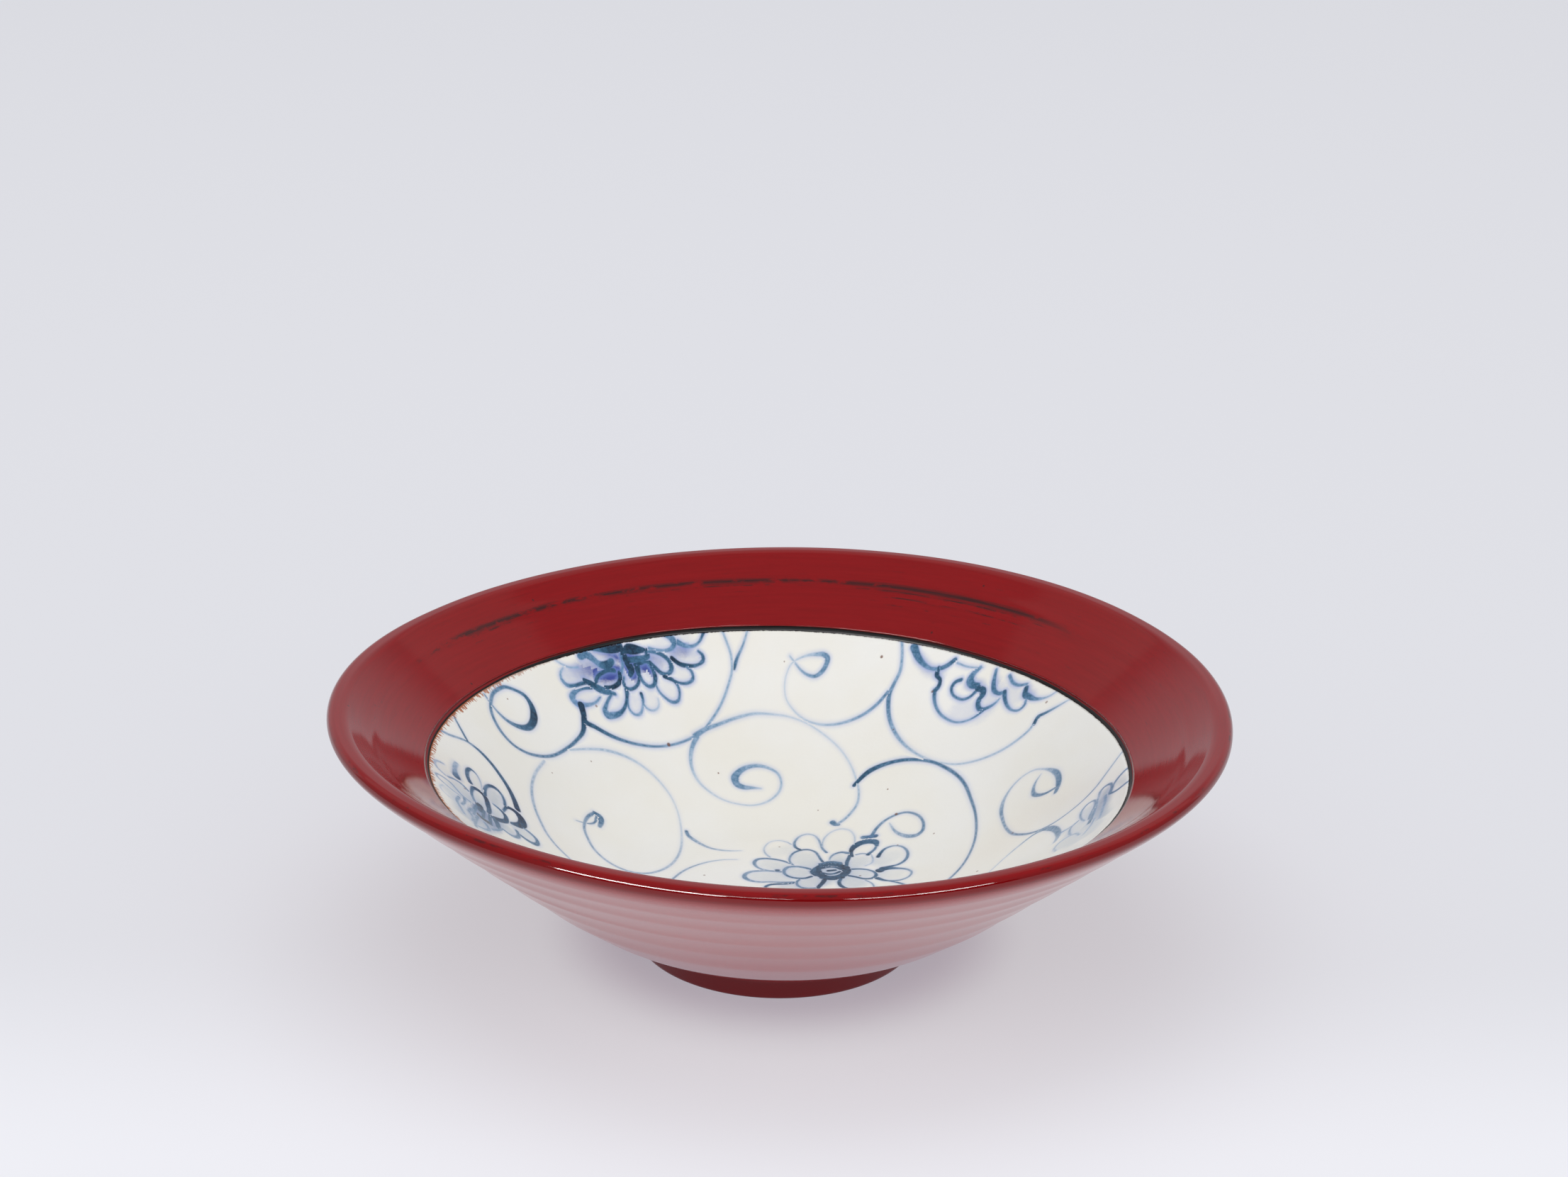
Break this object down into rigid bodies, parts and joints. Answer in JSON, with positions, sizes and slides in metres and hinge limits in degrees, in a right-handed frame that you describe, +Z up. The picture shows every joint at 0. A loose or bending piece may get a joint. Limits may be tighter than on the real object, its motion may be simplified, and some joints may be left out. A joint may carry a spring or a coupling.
{
  "type": "lacquered pottery bowl",
  "caption": "Wide round pottery bowl on a low foot ring, with a glazed and painted well and a lacquered flare, lip and outside.",
  "frame": {"origin": "on the bowl's axis, on the surface that its foot ring stands on", "axes": "+Z up along the bowl's axis; the bowl is round, and +Y points away from the picture's camera, so the painting is the right way round seen from -Y"},
  "size_m": [0.24, 0.24, 0.066],
  "materials": {
    "clay": "bare fired stoneware, matt and slightly gritty",
    "white_glaze": "glossy white glaze over cobalt brush painting, with fine iron specks",
    "black_lacquer": "black lacquer, satin",
    "red_lacquer": "polished dark red lacquer, worn through to the black in places"
  },
  "bodies": {
    "root": {"clay_body": "clay", "well_glaze": "white_glaze", "black_undercoat": "black_lacquer", "red_topcoat": "red_lacquer", "foot_recess_lacquer": "black_lacquer"}
  },
  "joints": []
}
